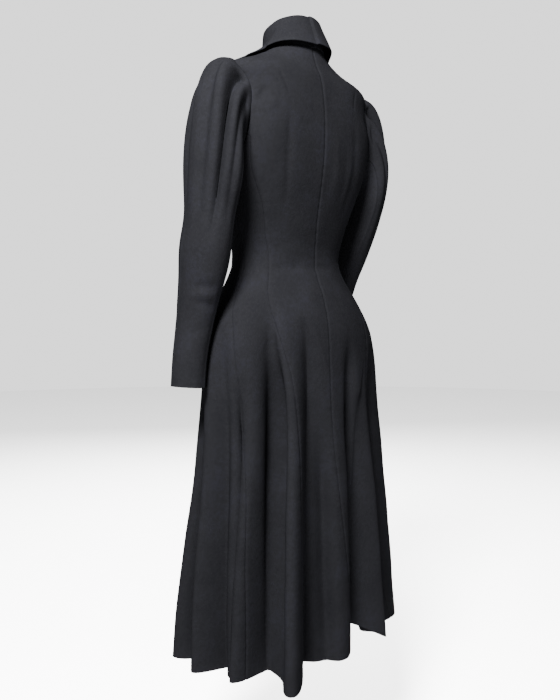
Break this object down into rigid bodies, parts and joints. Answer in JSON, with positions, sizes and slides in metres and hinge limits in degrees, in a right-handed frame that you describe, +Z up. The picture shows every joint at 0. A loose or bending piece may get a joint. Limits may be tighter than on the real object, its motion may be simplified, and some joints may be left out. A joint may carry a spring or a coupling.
{
  "type": "princess coat",
  "caption": "Long fitted coat with long shaped seams from armhole to flared, folded hem, set-in gathered sleeves, a stand-and-fall roll collar and a front closed by six covered buttons",
  "frame": {"origin": "Inside the neck, on the centre line at shoulder height, where a body or a stand holds the coat up", "axes": "+Z is up, +X is the side of the wearer's left arm, and the coat's front faces -Y"},
  "size_m": [0.538, 0.3536, 1.2495],
  "materials": {
    "coat_wool": "fulled black wool with a soft matte nap",
    "button_cloth": "smooth black wool drawn over a domed button mould"
  },
  "bodies": {
    "root": {"back_left": "coat_wool", "back_right": "coat_wool", "side_back_left": "coat_wool", "side_back_right": "coat_wool", "side_front_left": "coat_wool", "side_front_right": "coat_wool", "front_left": "coat_wool", "front_right": "coat_wool", "sleeve_top_left": "coat_wool", "sleeve_under_left": "coat_wool", "sleeve_top_right": "coat_wool", "sleeve_under_right": "coat_wool", "collar": "coat_wool", "button_1": "button_cloth", "button_2": "button_cloth", "button_3": "button_cloth", "button_4": "button_cloth", "button_5": "button_cloth", "button_6": "button_cloth"}
  },
  "joints": []
}
